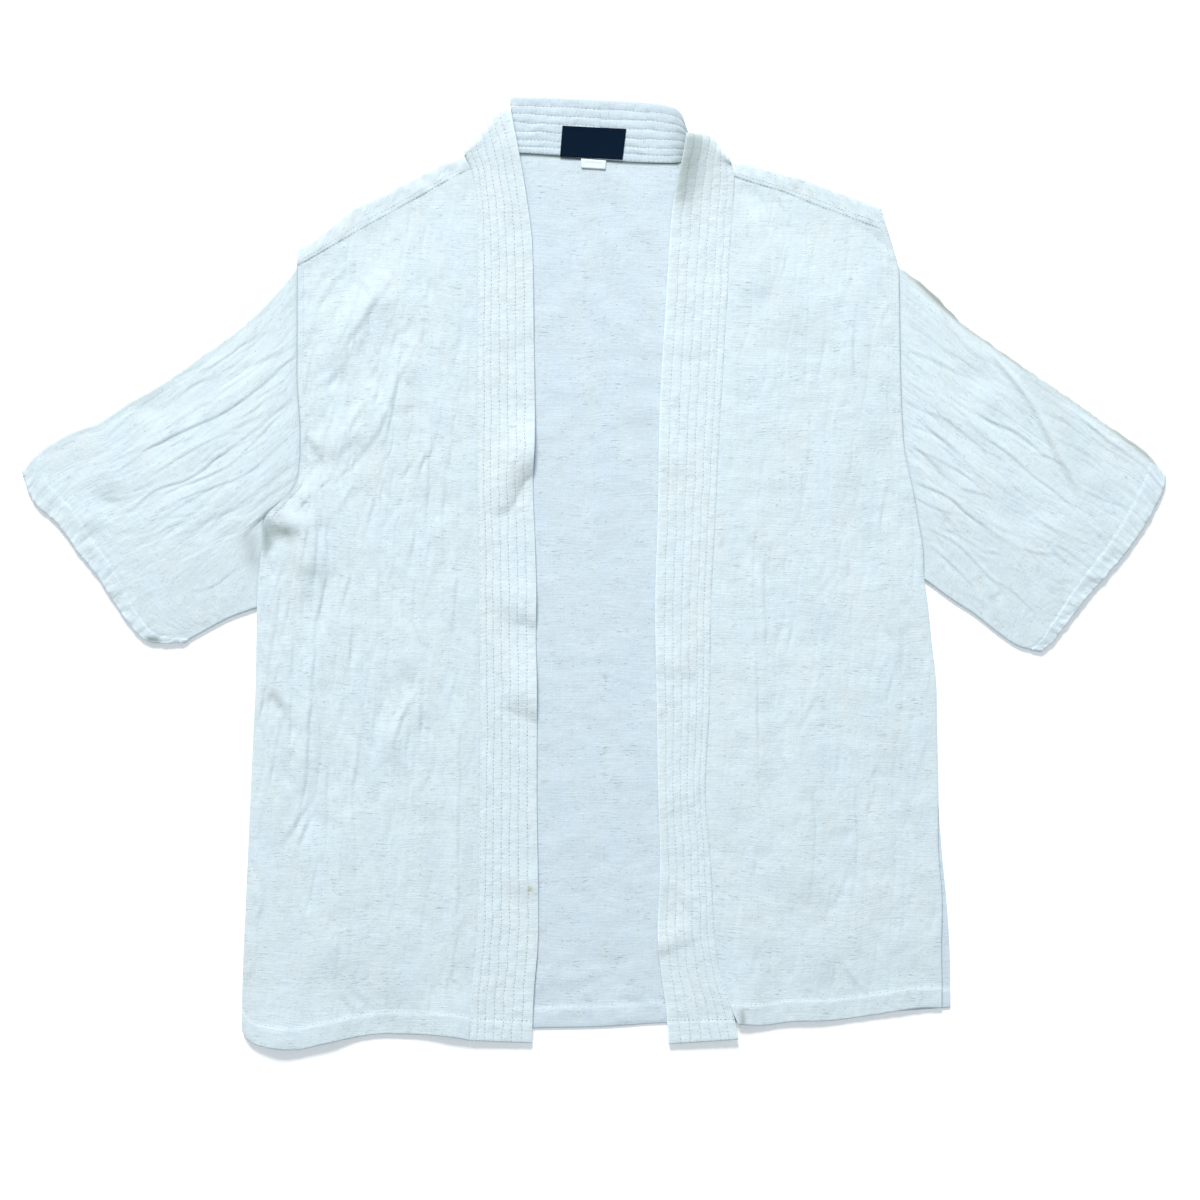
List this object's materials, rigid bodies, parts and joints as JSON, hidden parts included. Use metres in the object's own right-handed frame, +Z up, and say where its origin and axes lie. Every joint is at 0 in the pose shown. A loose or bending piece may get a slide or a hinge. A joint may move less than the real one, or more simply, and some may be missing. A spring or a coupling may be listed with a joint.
{
  "type": "short kimono",
  "caption": "Short open-fronted kimono laid flat: back, fronts, short wide sleeves, quilted front band, bare neck label and size tab.",
  "frame": {"origin": "on the surface that the garment lies on, under the middle of its outline", "axes": "+X towards the wearer's left cuff, +Y up the body to the neck, +Z up off the surface, out of the garment's front"},
  "size_m": [0.915, 0.7622, 0.01],
  "materials": {
    "cloth": "pale slub cotton and linen gauze, matt",
    "band_cloth": "the same cloth in layers, quilted in rows",
    "label_weave": "dark navy damask label, bare",
    "tab_weave": "white folded tape, bare"
  },
  "bodies": {
    "root": {"back": "cloth", "front_right": "cloth", "front_left": "cloth", "sleeve_right": "cloth", "sleeve_left": "cloth", "band_right": "band_cloth", "band_left": "band_cloth", "label": "label_weave", "size_tab": "tab_weave"}
  },
  "joints": []
}
